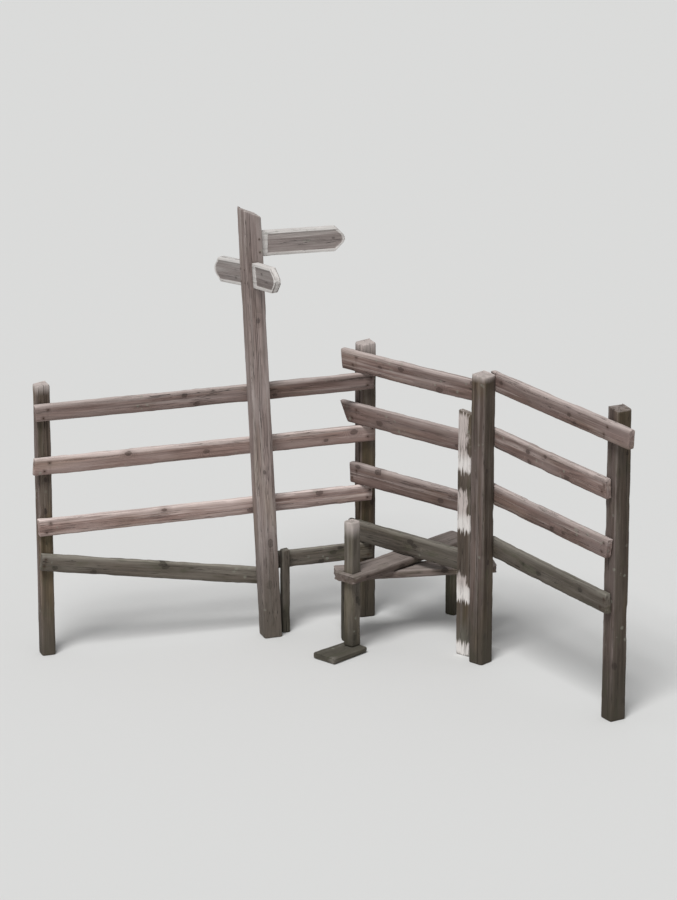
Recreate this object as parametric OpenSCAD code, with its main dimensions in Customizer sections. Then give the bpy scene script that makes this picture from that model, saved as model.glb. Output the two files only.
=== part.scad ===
// Timber step stile at the corner of a post-and-rail fence, with a three-finger footpath post.
// The foot of the stile post stands on the origin, X runs along the stile rails away from the
// corner, -Y is the side that the long fence bay bends to, and Z is up. Units are millimetres.

/* [Posts] */
// Side of the corner, stile and end posts
post_w = 90; // [75:1:120]
// Side of the slimmer post at the far end of the left bay
left_post_w = 75; // [65:1:100]
// Height of the stile post's head above the top stile rail
stile_head = 66; // [20:1:200]
// Height of the corner post's head above the top stile rail
corner_head = 36; // [15:1:200]
// Height of the end post's head above the top right rail
end_head = 52; // [15:1:200]
// Height of the left post's head above the top left rail
left_head = 91; // [15:1:200]
// Width of the planed arris on a post
post_arris = 7; // [2:1:12]
// Fall across a weathered post top
top_fall = 10; // [2:1:25]
// Depth of the flat planed on the corner post, where the stile rails bear
bearing_flat = 12; // [6:1:20]

/* [Bays] */
// Stile post to corner post, centre to centre along the stile rails
stile_bay = 902; // [820:1:1040]
// Corner post to left post, centre to centre
left_bay = 1705; // [1500:5:2200]
// Stile post to end post, along the right rails
right_bay = 990; // [880:5:1500]
// Angle between the stile rails and the left rails' run, seen from above
left_turn = 62.5; // [50:0.5:75]
// Angle that the right rails bend forward from the stile rails
right_turn = 16.6; // [8:0.2:25]

/* [Rails] */
// Height of a left rail's section
rail_h = 90; // [75:1:95]
// Height of a stile rail's section
stile_rail_h = 110; // [90:1:120]
// Height of a right rail's section
right_rail_h = 102; // [85:1:115]
// Thickness of a rail
rail_t = 38; // [30:1:45]
// Width of a rail's worn arris
rail_arris = 4; // [1:0.5:6]
// Height of the lowest stile rail's centre line
stile_rail_z = 481; // [450:1:560]
// Rise from each stile rail to the next one up
stile_pitches = [305, 318, 275]; // [240:1:360]
// Height of the lowest right rail's centre line
right_rail_z = 600; // [500:1:680]
// Rise from each right rail to the next one up
right_pitches = [274, 292, 288]; // [240:1:340]
// Gap between the ends of the stile rails and the right rails, behind the stile post
butt_gap = 4; // [1:0.5:10]
// How far each stile rail runs past the corner post's centre, lowest first
stile_runs_past = [45, 30, 72, 88]; // [20:1:140]
// How far each left rail stops past the corner post's centre, lowest first
left_runs_past = [15, 10, 24, 18]; // [0:1:44]
// How far each left rail runs past the left post's centre
left_end_past = [45, 62, 50]; // [20:1:120]
// How far each right rail runs past the end post's centre, lowest first
right_runs_past = [30, 28, 12, 190]; // [5:1:240]
// Gap between the lowest stile rail and the short low rail below it
stub_gap = 3; // [1:1:60]
// Gap between the lower left rail and the dropped low rail below it, at the left post
dropped_gap = 96; // [60:1:160]
// Slope of the dropped low rail
dropped_slope = 10; // [4:0.5:12]
// Lean of the left rails' saw cuts at the corner post, as run at half the height, lowest first
left_start_lean = [-3, 2, 0]; // [-12:1:12]
// Lean of the left rails' saw cuts at the left post
left_end_lean = [2, -4, 3]; // [-12:1:12]
// Lean of the stile rails' saw cuts at the corner post, lowest first
stile_lean = [4, -3, -28, -5]; // [-28:1:12]
// Lean of the right rails' saw cuts at the end post, lowest first
right_lean = [-4, 9, -4, 5]; // [-12:1:12]
// Lean of the low rails' saw cuts: dropped rail's two ends, then the short rail's free end
low_lean = [-6, 2, -5]; // [-12:1:12]

/* [Steps] */
// Width of a step board
step_w = 150; // [130:1:180]
// Thickness of a step board
step_t = 45; // [38:1:50]
// Length of the upper step board
upper_step_l = 900; // [760:5:1000]
// Length of the lower step board
lower_step_l = 820; // [720:5:960]
// Stile post's centre to the middle of the upper step
upper_step_x = 575; // [480:5:600]
// How much nearer to the stile post the lower step's middle lies
step_shift = 80; // [30:5:100]
// Angle of the lower step to the stile rails
lower_step_turn = 52; // [50:1:65]
// Clip across a step board's corners
step_clip = 14; // [5:1:25]
// Side of a step leg
leg_w = 65; // [50:1:75]
// How far a leg is set in from the end of its board
leg_inset = 30; // [20:1:60]
// Height of the upper step's front leg above the board that it passes through
leg_head = 264; // [60:1:320]
// Gap all round that leg in the board's square hole
hole_gap = 0.5; // [0.3:0.1:2]
// Thickness of the sill plank under the upper step's front leg
sill_t = 35; // [25:1:50]
// Length of the sill plank
sill_l = 240; // [200:5:400]

/* [Cleat and stake] */
// Gap between the cleat board, which closes the stile rails' ends, and the top stile rail
cleat_gap = 46; // [10:1:120]
// Gap between the cleat board and the stile post
cleat_set = 40; // [5:1:80]
// Width of the cleat board
cleat_w = 88; // [70:1:100]
// Angle of the skewed saw cut across the cleat's top
cleat_cut = 6; // [2:0.5:12]
// Side of the stake that carries the short low rail
stake_w = 48; // [40:1:60]
// Height of the stake's head above the short low rail
stake_head = 22; // [0:1:60]
// Gap between the stake and the fingerpost's foot
stake_gap = 12; // [4:1:60]

/* [Fingerpost] */
// Side of the fingerpost
sign_w = 100; // [95:1:125]
// Length of the fingerpost from its foot
sign_l = 2250; // [2200:5:2600]
// Corner post's centre to the fingerpost's foot, along the left rails
sign_s = 560; // [480:1:760]
// Lean of the fingerpost towards the left post
sign_lean = 2.6; // [0:0.1:3]
// Fall of the fingerpost's sloped top
sign_top_fall = 48; // [20:1:70]
// Thickness of a finger board
finger_t = 36; // [28:1:42]
// Height of a finger board
finger_h = 128; // [110:1:135]
// Reach of the long finger from the post's face
long_finger_l = 440; // [350:5:520]
// Reach of each of the two short fingers from the post's face
short_finger_l = [300, 262]; // [220:2:380]
// Length of a finger's tapered nose
nose_l = 52; // [40:1:90]
// Radius of a finger's rounded point
nose_r = 32; // [20:1:36]
// Depth of a finger's tenon in the post
tenon_l = 40; // [30:1:44]
// Gap all round a tenon in its mortice
mortice_gap = 0.5; // [0.3:0.1:1.5]
// Margin round the routed field of a finger
field_margin = 17; // [12:1:24]
// Depth of the routed field
field_depth = 3; // [2:0.5:5]
// Depth of the long finger's centre below the post's top
long_finger_z = 188; // [165:1:240]
// Depth of the two short fingers' centre below the long finger's
short_finger_z = 155; // [145:1:240]
// Turn of the long finger from square to the post, and its droop
long_finger_turn = [0, 3.5]; // [-8:0.5:8]
// Turn of each short finger from square to the post
short_finger_turn = [12.5, 5.5]; // [-15:0.5:15]
// Droop of each short finger
short_finger_droop = [6, -6]; // [-8:0.5:8]

/* [Hidden] */

weathered = [0.42, 0.37, 0.35];
pale = [0.52, 0.46, 0.43];
dark = [0.31, 0.28, 0.25];

// Centre lines of the stile rails, lowest first.
stile_levels = [stile_rail_z, stile_rail_z + stile_pitches[0],
    stile_rail_z + stile_pitches[0] + stile_pitches[1],
    stile_rail_z + stile_pitches[0] + stile_pitches[1] + stile_pitches[2]];
// Each left rail lies just below a stile rail, so that both can cross the corner post's foremost
// edge without meeting.
left_levels = [for (z = stile_levels) z - (rail_h + stile_rail_h) / 2];
right_levels = [right_rail_z, right_rail_z + right_pitches[0],
    right_rail_z + right_pitches[0] + right_pitches[1],
    right_rail_z + right_pitches[0] + right_pitches[1] + right_pitches[2]];
stub_level = left_levels[0] - stub_gap;
dropped_level = left_levels[1] - rail_h - dropped_gap;
// Each post's head stands above the top rail that it carries.
stile_post_h = stile_levels[3] + stile_rail_h / 2 + stile_head;
corner_post_h = stile_levels[3] + stile_rail_h / 2 + corner_head;
end_post_h = right_levels[3] + right_rail_h / 2 + end_head;
left_post_h = left_levels[3] + rail_h / 2 + left_head;
cleat_h = stile_levels[3] - stile_rail_h / 2 - cleat_gap;
stake_h = stub_level + rail_h / 2 + stake_head;
stake_s = sign_s - (sign_w + stake_w) / 2 - stake_gap;
// The stile rails lie on the back face of the stile post.
rail_y = post_w / 2;
// The corner post is turned with the left bay, and its foremost edge is planed to a flat.
corner_skew = 90 - left_turn;
corner_reach = post_w / 2 * (cos(corner_skew) + sin(corner_skew)) - bearing_flat;
corner_at = [-stile_bay, rail_y + rail_t + corner_reach];
// The right rails bend at the middle of the stile post's back face.
right_at = [0, rail_y];
// Both bays' rails end at the middle of that face, with a gap between them.
right_start = butt_gap / 2;
stile_rail_end = -butt_gap / 2;
step_mid_y = rail_y + rail_t / 2;
lower_step_x = upper_step_x - step_shift;
// The upper step board passes tight under the lowest stile rail and lies on the lower one.
upper_step_top = stile_levels[0] - stile_rail_h / 2;
lower_step_top = upper_step_top - step_t;
// A length beyond every piece, and how far a cut runs past the face that it leaves.
big = 4000;
cut = 1;

// Moves to the corner post, with X along the left bay and Y towards the walker's side.
module left_bay_frame() {
    translate([corner_at[0], corner_at[1], 0]) rotate([0, 0, 180 + left_turn]) children();
}

// Moves to the bend of the right bay, with X along it.
module right_bay_frame() {
    translate([right_at[0], right_at[1], 0]) rotate([0, 0, -right_turn]) children();
}

// Square with planed arrises, centred.
module eased_square(w, h, arris) {
    x = w / 2;
    y = h / 2;
    polygon([[-x + arris, -y], [x - arris, -y], [x, -y + arris], [x, y - arris],
        [x - arris, y], [-x + arris, y], [-x, y - arris], [-x, -y + arris]]);
}

// Board from x0 to x1 with its near face on y = 0 and its centre line on z = 0. Each end leans
// by its own amount, measured as run at half the height.
module board(x0, x1, h, t, arris, lean0 = 0, lean1 = 0) {
    intersection() {
        translate([x0 - h, t / 2, 0]) rotate([90, 0, 90])
            linear_extrude(x1 - x0 + 2 * h) eased_square(t, h, arris);
        translate([0, t + cut, 0]) rotate([90, 0, 0]) linear_extrude(t + 2 * cut)
            polygon([[x0 - lean0, -h / 2 - cut], [x1 - lean1, -h / 2 - cut],
                [x1 + lean1, h / 2 + cut], [x0 + lean0, h / 2 + cut]]);
    }
}

// Square post on z = 0, with a top that falls towards +X and eased edges along the cut.
module post(w, h, fall, arris) {
    intersection() {
        linear_extrude(h) eased_square(w, w, arris);
        translate([0, w, 0]) rotate([90, 0, 0]) linear_extrude(2 * w)
            polygon([[-w, 0], [w, 0], [w, h - 2 * fall], [w / 2 - arris, h - fall],
                [-w / 2 + arris, h], [-w / 2, h - arris], [-w, h - w / 2 - arris]]);
    }
}

module rail(x0, x1, h, lean0 = 0, lean1 = 0) {
    board(x0, x1, h, rail_t, rail_arris, lean0, lean1);
}

module stile_post() color(weathered) post(post_w, stile_post_h, top_fall, post_arris);

module corner_post() {
    color(weathered) difference() {
        left_bay_frame() post(post_w, corner_post_h, top_fall, post_arris);
        // The flat on which the stile rails bear
        translate([corner_at[0] - post_w, rail_y + rail_t - post_w, upper_step_top])
            cube([2 * post_w, post_w, corner_post_h]);
    }
}

module left_post() {
    color(weathered) left_bay_frame() translate([left_bay, (post_w - left_post_w) / 2, 0])
        post(left_post_w, left_post_h, top_fall, post_arris);
}

module end_post() {
    color(weathered) right_bay_frame() translate([right_bay, rail_t + post_w / 2, 0])
        post(post_w, end_post_h, top_fall, post_arris);
}

// Upright board beside the stile post, over the ends of the stile rails.
module rail_cleat() {
    x = -post_w / 2 - cleat_set - cleat_w;
    color(pale) translate([x, rail_y - rail_t, 0]) difference() {
        linear_extrude(cleat_h) translate([cleat_w / 2, rail_t / 2])
            eased_square(cleat_w, rail_t, rail_arris);
        // Skewed saw cut across the top
        translate([-cut, -cut, cleat_h]) rotate([0, cleat_cut, 0])
            cube([2 * cleat_w, 2 * rail_t, cleat_w]);
    }
}

// Stake in front of the short low rail.
module rail_stake() {
    color(dark) left_bay_frame() translate([stake_s, (post_w + stake_w) / 2 + rail_t, 0])
        post(stake_w, stake_h, top_fall / 2, rail_arris);
}

// Left rail number i, counted from the lowest level, on the walker's side of its posts. The
// lowest level has no whole rail.
module left_rail(i) {
    left_bay_frame() translate([0, post_w / 2, left_levels[i]])
        rail(-left_runs_past[i], left_bay + left_end_past[i - 1], rail_h,
            left_start_lean[i - 1], left_end_lean[i - 1]);
}
module left_rail_lower() color(weathered) left_rail(1);
module left_rail_middle() color(weathered) left_rail(2);
module left_rail_top() color(weathered) left_rail(3);

// Low rail that hangs on the left post and has dropped at its other end.
module left_rail_dropped() {
    color(dark) left_bay_frame() translate([left_bay, post_w / 2, dropped_level])
        rotate([0, -dropped_slope, 0])
            rail(sign_s - left_bay, left_post_w / 2, rail_h, low_lean[0], low_lean[1]);
}

// Short length of low rail from the stake to the corner post.
module left_rail_short() {
    color(dark) left_bay_frame() translate([0, post_w / 2, stub_level])
        rail(-left_runs_past[0], stake_s + stake_w / 2, rail_h, 0, low_lean[2]);
}

// Stile rail number i, counted from the lowest, from the corner post to the stile post.
module stile_rail(i) {
    translate([0, rail_y, stile_levels[i]])
        rail(-stile_bay - stile_runs_past[i], stile_rail_end, stile_rail_h, stile_lean[i]);
}
module stile_rail_low() color(dark) stile_rail(0);
module stile_rail_lower() color(weathered) stile_rail(1);
module stile_rail_middle() color(weathered) stile_rail(2);
module stile_rail_top() color(weathered) stile_rail(3);

// Right rail number i, shaved flat where it bears on the back face of the stile post.
module right_rail(i) {
    difference() {
        right_bay_frame() translate([0, 0, right_levels[i]])
            rail(right_start, right_bay + right_runs_past[i], right_rail_h, 0, right_lean[i]);
        translate([-post_w / 2, rail_y - post_w, right_levels[i] - right_rail_h])
            cube([post_w, post_w, 2 * right_rail_h]);
    }
}
module right_rail_low() color(dark) right_rail(0);
module right_rail_lower() color(weathered) right_rail(1);
module right_rail_middle() color(weathered) right_rail(2);
module right_rail_top() color(weathered) right_rail(3);

// Step board of length l with its top on z = 0, centred, with worn edges and clipped corners.
module step_board(l) {
    intersection() {
        translate([-l / 2, 0, -step_t / 2]) rotate([90, 0, 90])
            linear_extrude(l) eased_square(step_w, step_t, rail_arris + 1);
        translate([0, 0, -step_t - cut]) linear_extrude(step_t + 2 * cut)
            eased_square(l, step_w, step_clip);
    }
}

module upper_step_frame() {
    translate([-upper_step_x, step_mid_y, 0]) rotate([0, 0, 90]) children();
}
module lower_step_frame() {
    translate([-lower_step_x, step_mid_y, 0]) rotate([0, 0, lower_step_turn]) children();
}

// Moves to the leg at one end of a board of length l: end is -1 at the front and 1 at the back.
module at_leg(l, end) {
    translate([end * (l / 2 - leg_inset - leg_w / 2), 0, 0]) children();
}
module leg(l, end, h) {
    at_leg(l, end) linear_extrude(h) eased_square(leg_w, leg_w, rail_arris);
}

// Upper board, with a square hole for its tall front leg.
module upper_step() {
    hole = leg_w + 2 * hole_gap;
    color(pale) upper_step_frame() translate([0, 0, upper_step_top]) difference() {
        step_board(upper_step_l);
        at_leg(upper_step_l, -1) translate([-hole / 2, -hole / 2, -step_t - cut])
            cube([hole, hole, step_t + 2 * cut]);
    }
}
module lower_step() {
    color(weathered) lower_step_frame() translate([0, 0, lower_step_top]) step_board(lower_step_l);
}
module upper_leg_front() {
    color(dark) upper_step_frame() translate([0, 0, sill_t])
        leg(upper_step_l, -1, upper_step_top + leg_head - sill_t);
}
module upper_leg_back() {
    color(dark) upper_step_frame() leg(upper_step_l, 1, upper_step_top - step_t);
}
module lower_leg_front() {
    color(dark) lower_step_frame() leg(lower_step_l, -1, lower_step_top - step_t);
}
module lower_leg_back() {
    color(dark) lower_step_frame() leg(lower_step_l, 1, lower_step_top - step_t);
}

// Plank flat on the ground under the upper step's front leg, flush with the leg's back face.
module step_sill() {
    color(pale) upper_step_frame() at_leg(upper_step_l, -1)
        translate([leg_w / 2 - sill_l, 0, sill_t / 2]) rotate([90, 0, 90])
            linear_extrude(sill_l) eased_square(step_w, sill_t, rail_arris);
}

// Moves to the fingerpost's foot and leans with it, with X towards the left post and Y towards
// the walker's side.
module sign_frame() {
    left_bay_frame() translate([sign_s, post_w / 2 + rail_t + sign_w / 2, 0])
        rotate([0, sign_lean, 0]) children();
}

// Places a finger: depth below the post's top, the face it leaves by, its turn from square and
// its droop.
module at_finger(depth, face, turn, droop) {
    translate([0, 0, sign_l - depth]) rotate([0, 0, face + turn]) rotate([0, droop, 0])
        children();
}
module at_long_finger() {
    at_finger(long_finger_z, 180, long_finger_turn[0], long_finger_turn[1]) children();
}
module at_short_finger(i) {
    at_finger(long_finger_z + short_finger_z, i == 0 ? -90 : 90, short_finger_turn[i],
        short_finger_droop[i]) children();
}

// Where the straight edge of a finger's nose meets the round point: the tangent from the
// corner of the nose, at distance dx and height dz from the point's centre.
function tangent_point(dx, dz, r) = let (a = atan2(dz, -dx), b = acos(r / norm([dx, dz])))
    [r * cos(a - b), r * sin(a - b)];

// Outline of a finger from x0, reaching to x1, drawn in by the margin m.
module finger_outline(x0, x1, m) {
    h = finger_h / 2 - m;
    shoulder = x1 - nose_l;
    centre = x1 - m - nose_r;
    t = tangent_point(centre - shoulder, h, nose_r);
    polygon([[x0, -h], [shoulder, -h], [centre + t[0], -t[1]], [centre + t[0], t[1]],
        [shoulder, h], [x0, h]]);
    translate([centre, 0]) circle(r = nose_r, $fn = 48);
}

// Finger board: a tenon that ends in the post, a tapered nose with a round point and a routed
// field on both faces.
module finger(reach) {
    face = sign_w / 2;
    difference() {
        translate([0, finger_t / 2, 0]) rotate([90, 0, 0])
            linear_extrude(finger_t) finger_outline(face - tenon_l, face + reach, 0);
        for (side = [-1, 1]) translate([0, side * (finger_t / 2 - field_depth / 2), 0])
            rotate([90, 0, 0]) linear_extrude(field_depth + cut, center = true)
                finger_outline(face + 2 * field_margin, face + reach, field_margin);
    }
}

// Mortice for a finger, with the gap all round and at its end.
module mortice() {
    size = [tenon_l + 2 * mortice_gap + sign_w, finger_t + 2 * mortice_gap,
        finger_h + 2 * mortice_gap];
    translate([sign_w / 2 - tenon_l - mortice_gap, -size[1] / 2, -size[2] / 2]) cube(size);
}

module fingerpost() {
    color(weathered) difference() {
        sign_frame() difference() {
            translate([0, 0, -sign_w]) intersection() {
                linear_extrude(sign_l + sign_w) eased_square(sign_w, sign_w, post_arris);
                // Top sloped down towards the long finger
                translate([0, sign_w, 0]) rotate([90, 0, 0]) linear_extrude(2 * sign_w)
                    polygon([[-sign_w / 2, 0], [sign_w / 2, 0], [sign_w / 2, sign_l + sign_w],
                        [-sign_w / 2, sign_l + sign_w - sign_top_fall]]);
            }
            at_long_finger() mortice();
            for (i = [0, 1]) at_short_finger(i) mortice();
        }
        // Level foot on the ground
        translate([-big / 2, -big / 2, -big]) cube(big);
    }
}
module finger_long() color(pale) sign_frame() at_long_finger() finger(long_finger_l);
module finger_left() color(pale) sign_frame() at_short_finger(0) finger(short_finger_l[0]);
module finger_front() color(pale) sign_frame() at_short_finger(1) finger(short_finger_l[1]);

stile_post();
corner_post();
left_post();
end_post();
rail_cleat();
rail_stake();
left_rail_lower();
left_rail_middle();
left_rail_top();
left_rail_dropped();
left_rail_short();
stile_rail_low();
stile_rail_lower();
stile_rail_middle();
stile_rail_top();
right_rail_low();
right_rail_lower();
right_rail_middle();
right_rail_top();
upper_step();
lower_step();
upper_leg_front();
upper_leg_back();
lower_leg_front();
lower_leg_back();
step_sill();
fingerpost();
finger_long();
finger_left();
finger_front();
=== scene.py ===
"""Looks of the timber step stile: weathered sawn timber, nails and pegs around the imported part."""

from math import copysign, cos, pi, radians, sin
from types import SimpleNamespace

import bpy
import numpy as np
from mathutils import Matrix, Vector
from mathutils.bvhtree import BVHTree


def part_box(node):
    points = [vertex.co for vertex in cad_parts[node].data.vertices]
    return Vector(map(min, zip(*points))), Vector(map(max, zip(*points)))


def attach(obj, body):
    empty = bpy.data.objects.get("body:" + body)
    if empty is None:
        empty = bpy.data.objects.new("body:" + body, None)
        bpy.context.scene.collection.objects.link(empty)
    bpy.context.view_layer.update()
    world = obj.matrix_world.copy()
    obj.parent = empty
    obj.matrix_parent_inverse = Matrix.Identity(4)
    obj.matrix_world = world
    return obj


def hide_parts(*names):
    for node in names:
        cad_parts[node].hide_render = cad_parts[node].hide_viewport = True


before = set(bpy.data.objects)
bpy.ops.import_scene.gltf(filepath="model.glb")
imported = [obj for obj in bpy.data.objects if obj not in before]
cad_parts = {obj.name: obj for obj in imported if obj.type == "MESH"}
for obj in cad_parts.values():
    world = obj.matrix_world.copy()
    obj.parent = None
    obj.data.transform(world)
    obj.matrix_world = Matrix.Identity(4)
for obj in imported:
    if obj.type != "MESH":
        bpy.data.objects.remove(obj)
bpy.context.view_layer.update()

# Camera, in the part's frame: the photograph's direction, in metres and degrees
VIEW_AZIMUTH = 42.7
VIEW_ELEVATION = 17.0
VIEW_DISTANCE = 18.0
AIM = Vector((-0.56, -0.44, 1.09))
LENS = 146.0
SENSOR = 36.0
FAR_CLIP = 400.0

# Light: the key's strength, width, turn to the camera's left and height, in degrees
KEY_STRENGTH = 2.4
KEY_ANGLE = 24.0
KEY_LEFT = 20.0
KEY_HEIGHT = 57.0
SKY_STRENGTH = 0.40
SKY = (0.86, 0.87, 0.88)
FLOOR = (0.72, 0.72, 0.71)
FLOOR_HALF = 90.0
FLOOR_DROP = 0.0005

# Mesh pitch round and along a timber, and a finger board's, in metres
PITCH = (0.0042, 0.0105)
FINE_PITCH = (0.0024, 0.0036)
END_STATIONS = (0.0, 0.0012, 0.0030, 0.0060, 0.0110, 0.0180)
CHECK_HALF = 0.0004
LEVEL_MARGIN = 0.0003
SHARP_ANGLE = 42

# How a solid is felt out: normals this alike face the same way, a timber this steep is upright,
# rays start this far outside, and an end is looked for at these shares of the section
SAME_WAY = 0.9995
UPRIGHT = 0.7
END_START = 0.05
SIDE_START = 0.01
END_SHARES = (0.985, 0.96, 0.92, 0.86, 0.7)
END_MARGIN = 0.001
# The deepest hollow that a side follows, how softly, and the depths at which a field's rim fades
POCKET = 0.006
FEATURE_SOFT = 0.0022
RIM_FADE = (0.0006, 0.0022)

# The step board's hole for its tall leg: the gap round the leg, the radius of its corners, and the
# turns from each corner's middle at which it has a point, in degrees
HOLE_GAP = 0.0012
HOLE_ROUND = 0.003
HOLE_TURNS = (-20, 0, 20)

# Unevenness, in metres. Hollows and saw marks: seed step, share of the roughness, and the wave's
# length along and across
HOLLOWS = ((0, 0.9, 0.33, 0.05), (50, 0.45, 0.07, 0.012))
ARRIS_REACH = 0.020
WEAR_WAVE = 0.19
NICK_WAVE = 0.03
NICK_SHARE = 0.35
CHIP_WAVE = 0.11
CHIP_RISE = (0.45, 0.8)
END_ROUND = 0.0026
END_REACH = 0.007
SPLIT_APART = 0.007
SPLIT_WAVE = 0.035
SPLIT_RISE = (0.25, 0.7)
SPLIT_DEEP = 0.012
WANDER = 0.004
WANDER_WAVE = 0.25
TREAD_HOLLOW = 0.005
TREAD_SPREAD = 0.22
# End grain: seed factor, depth and size of its pores and of its waves
PORES = ((29, 0.0007, 0.004), (31, 0.0012, 0.022))
END_EASE = 0.0008

SIDES = (((1, 0), (0, 1)), ((0, 1), (-1, 0)), ((-1, 0), (0, -1)), ((0, -1), (1, 0)))


def lattice(seed, *cells):
    """A value from -1 to 1 for each whole-number lattice point."""
    h = np.full(np.shape(cells[0]), (seed * 2654435761) & 0xFFFFFFFF, np.uint64)
    for prime, c in zip((374761393, 668265263), cells):
        h = (h ^ (c.astype(np.int64).astype(np.uint64) * np.uint64(prime))) & np.uint64(0xFFFFFFFF)
        h = (h * np.uint64(2246822519)) & np.uint64(0xFFFFFFFF)
        h ^= h >> np.uint64(13)
    return h / 2147483648.0 - 1.0


def noise(seed, *coords):
    """Smooth noise from -1 to 1 in one or two directions."""
    coords = np.broadcast_arrays(*[np.asarray(c, float) for c in coords])
    low = [np.floor(c) for c in coords]
    part = [c - f for c, f in zip(coords, low)]
    part = [p * p * (3 - 2 * p) for p in part]
    total = 0.0
    for corner in range(2 ** len(coords)):
        weight, cells = 1.0, []
        for k, (f, p) in enumerate(zip(low, part)):
            up = corner >> k & 1
            cells.append(f + up)
            weight = weight * (p if up else 1 - p)
        total = total + weight * lattice(seed, *cells)
    return total


def smooth(low, high, x):
    """0 below low, 1 above high and smooth between."""
    t = np.clip((np.asarray(x, float) - low) / (high - low), 0, 1)
    return t * t * (3 - 2 * t)


class Solid:
    """A CAD node seen along its grain: its mesh in a frame whose X runs along the timber."""

    def __init__(self, node):
        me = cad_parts[node].data
        co = np.array([v.co for v in me.vertices], float)
        self.turn = self.grain_axes(me)
        local = co @ self.turn
        low, high = local.min(0), local.max(0)
        centre = (low + high) / 2
        centre[0] = low[0]
        self.half = (high - low) / 2
        self.length = high[0] - low[0]
        self.origin = self.turn @ centre
        faces = [list(p.vertices) for p in me.polygons]
        self.tree = BVHTree.FromPolygons([Vector(v) for v in local - centre], faces)

    def grain_axes(self, me):
        """Along, side and up of the timber, as the columns of a turn."""
        normals = np.array([p.normal for p in me.polygons], float)
        areas = np.array([p.area for p in me.polygons], float)
        broad = self.main_direction(normals, areas)
        across = np.abs(normals @ broad) < 0.5
        narrow = self.main_direction(normals[across], areas[across])
        along = np.cross(broad, narrow)
        along /= np.linalg.norm(along)
        if abs(along[2]) > UPRIGHT:
            along *= np.sign(along[2])
            up = np.array(broad if abs(broad[1]) > abs(narrow[1]) else narrow)
            up *= np.sign(up[1])
        else:
            along *= np.sign(along @ (1, 0.2, 0))
            up = np.array(broad if abs(broad[2]) > abs(narrow[2]) else narrow)
            up *= np.sign(up[2])
        up -= along * (up @ along)
        up /= np.linalg.norm(up)
        return np.column_stack([along, np.cross(up, along), up])

    @staticmethod
    def main_direction(normals, areas):
        """The direction, either way round, that most of the surface faces."""
        near = np.abs(normals @ normals.T) > SAME_WAY
        best = normals[np.argmax(near @ areas)]
        group = np.abs(normals @ best) > SAME_WAY
        signs = np.sign(normals[group] @ best)
        mean = (normals[group] * (signs * areas[group])[:, None]).sum(0)
        return mean / np.linalg.norm(mean)

    def local(self, points):
        """Points of the part's frame, in the timber's own frame."""
        return (np.asarray(points, float) - self.origin) @ self.turn

    def placed(self, points):
        """Points of the timber's own frame, in the part's frame."""
        return np.asarray(points, float) @ self.turn.T + self.origin

    def end(self, y, z, way):
        """Where the end lies at (y, z): way is 1 for the far end and -1 for the near one."""
        start = self.length + END_START if way > 0 else -END_START
        for share in END_SHARES:
            hit = self.tree.ray_cast(Vector((start, y * share, z * share)), Vector((-way, 0, 0)))[0]
            if hit:
                return hit.x
        return self.length if way > 0 else 0.0

    def depth(self, x, y, z, ny, nz):
        """How far the surface lies below a point of the section's outline."""
        start = Vector((x, y + ny * SIDE_START, z + nz * SIDE_START))
        hit = self.tree.ray_cast(start, Vector((0, -ny, -nz)))
        return POCKET if hit[3] is None else min(max(hit[3] - SIDE_START, 0.0), POCKET)


class Check:
    """A drying split along one face: side, place across the face, start, end, width and depth."""

    def __init__(self, rng, side, half, length, size, depth):
        self.side = side
        self.at = rng.uniform(-0.72, 0.72) * half
        reach = rng.uniform(0.25, 0.75) * length
        middle = rng.uniform(-0.05, 1.05) * length
        self.low, self.high = middle - reach / 2, middle + reach / 2
        self.half = rng.uniform(0.45, 1.0) * size / 2
        self.deep = rng.uniform(0.6, 1.0) * depth
        self.seed = int(rng.integers(1 << 20))

    def opening(self, x):
        """How open the split is along the timber, from 0 to 1."""
        t = np.clip((x - self.low) / (self.high - self.low), 0, 1)
        bell = np.clip(4 * t * (1 - t), 0, 1) ** 0.6
        return bell * (0.72 + 0.28 * noise(self.seed, x / SPLIT_WAVE))


def drying_splits(rng, solid, kind):
    """The splits of all four sides that keep clear of one another."""
    checks = []
    for side in range(4):
        room = solid.half[2 - side % 2] - kind["radius"]
        for _ in range(kind["splits"][side % 2]):
            c = Check(rng, side, room, solid.length, kind["size"], kind["deep"])
            if all(o.side != side or abs(o.at - c.at) > SPLIT_APART for o in checks):
                checks.append(c)
    return checks


def section(half, radius, pitch, checks):
    """Columns round the section: place, outward direction, side, share across, and any split."""
    rows = []
    for side, (n, d) in enumerate(SIDES):
        n, d = np.array(n, float), np.array(d, float)
        reach = abs(d @ half) - radius
        out = abs(n @ half)
        count = max(3, round(2 * reach / pitch) + 1)
        flat = [(t, None, 0) for t in np.linspace(-reach, reach, count)]
        for c in checks:
            if c.side == side:
                flat = [f for f in flat if abs(f[0] - c.at) > c.half * 1.5 or abs(f[0]) == reach]
                flat += [(c.at + k * c.half, c, k) for k in (-1, 0, 1)]
        for t, check, role in sorted(flat, key=lambda f: f[0]):
            rows.append((n * out + d * t, n, side, t / reach, check, role))
        for angle in (22.5, 45.0, 67.5):
            a = radians(angle)
            turned = n * cos(a) + d * sin(a)
            place = n * (out - radius) + d * reach + turned * radius
            rows.append((place, turned, side, 1.0, None, 0))
    return rows


def stations(length, step):
    """Shares of the length at which rings lie, closer together at both ends."""
    ends = [e / length for e in END_STATIONS]
    first = ends[-1]
    count = max(2, round((1 - 2 * first) * length / step))
    middle = list(np.linspace(first, 1 - first, count + 1))[1:-1]
    return np.array(ends + middle + [1 - e for e in reversed(ends)])


def table(columns, rows):
    """Rows of values, each by its own name and then by its column's."""
    return {name: dict(zip(columns, values)) for name, values in rows.items()}


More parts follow.
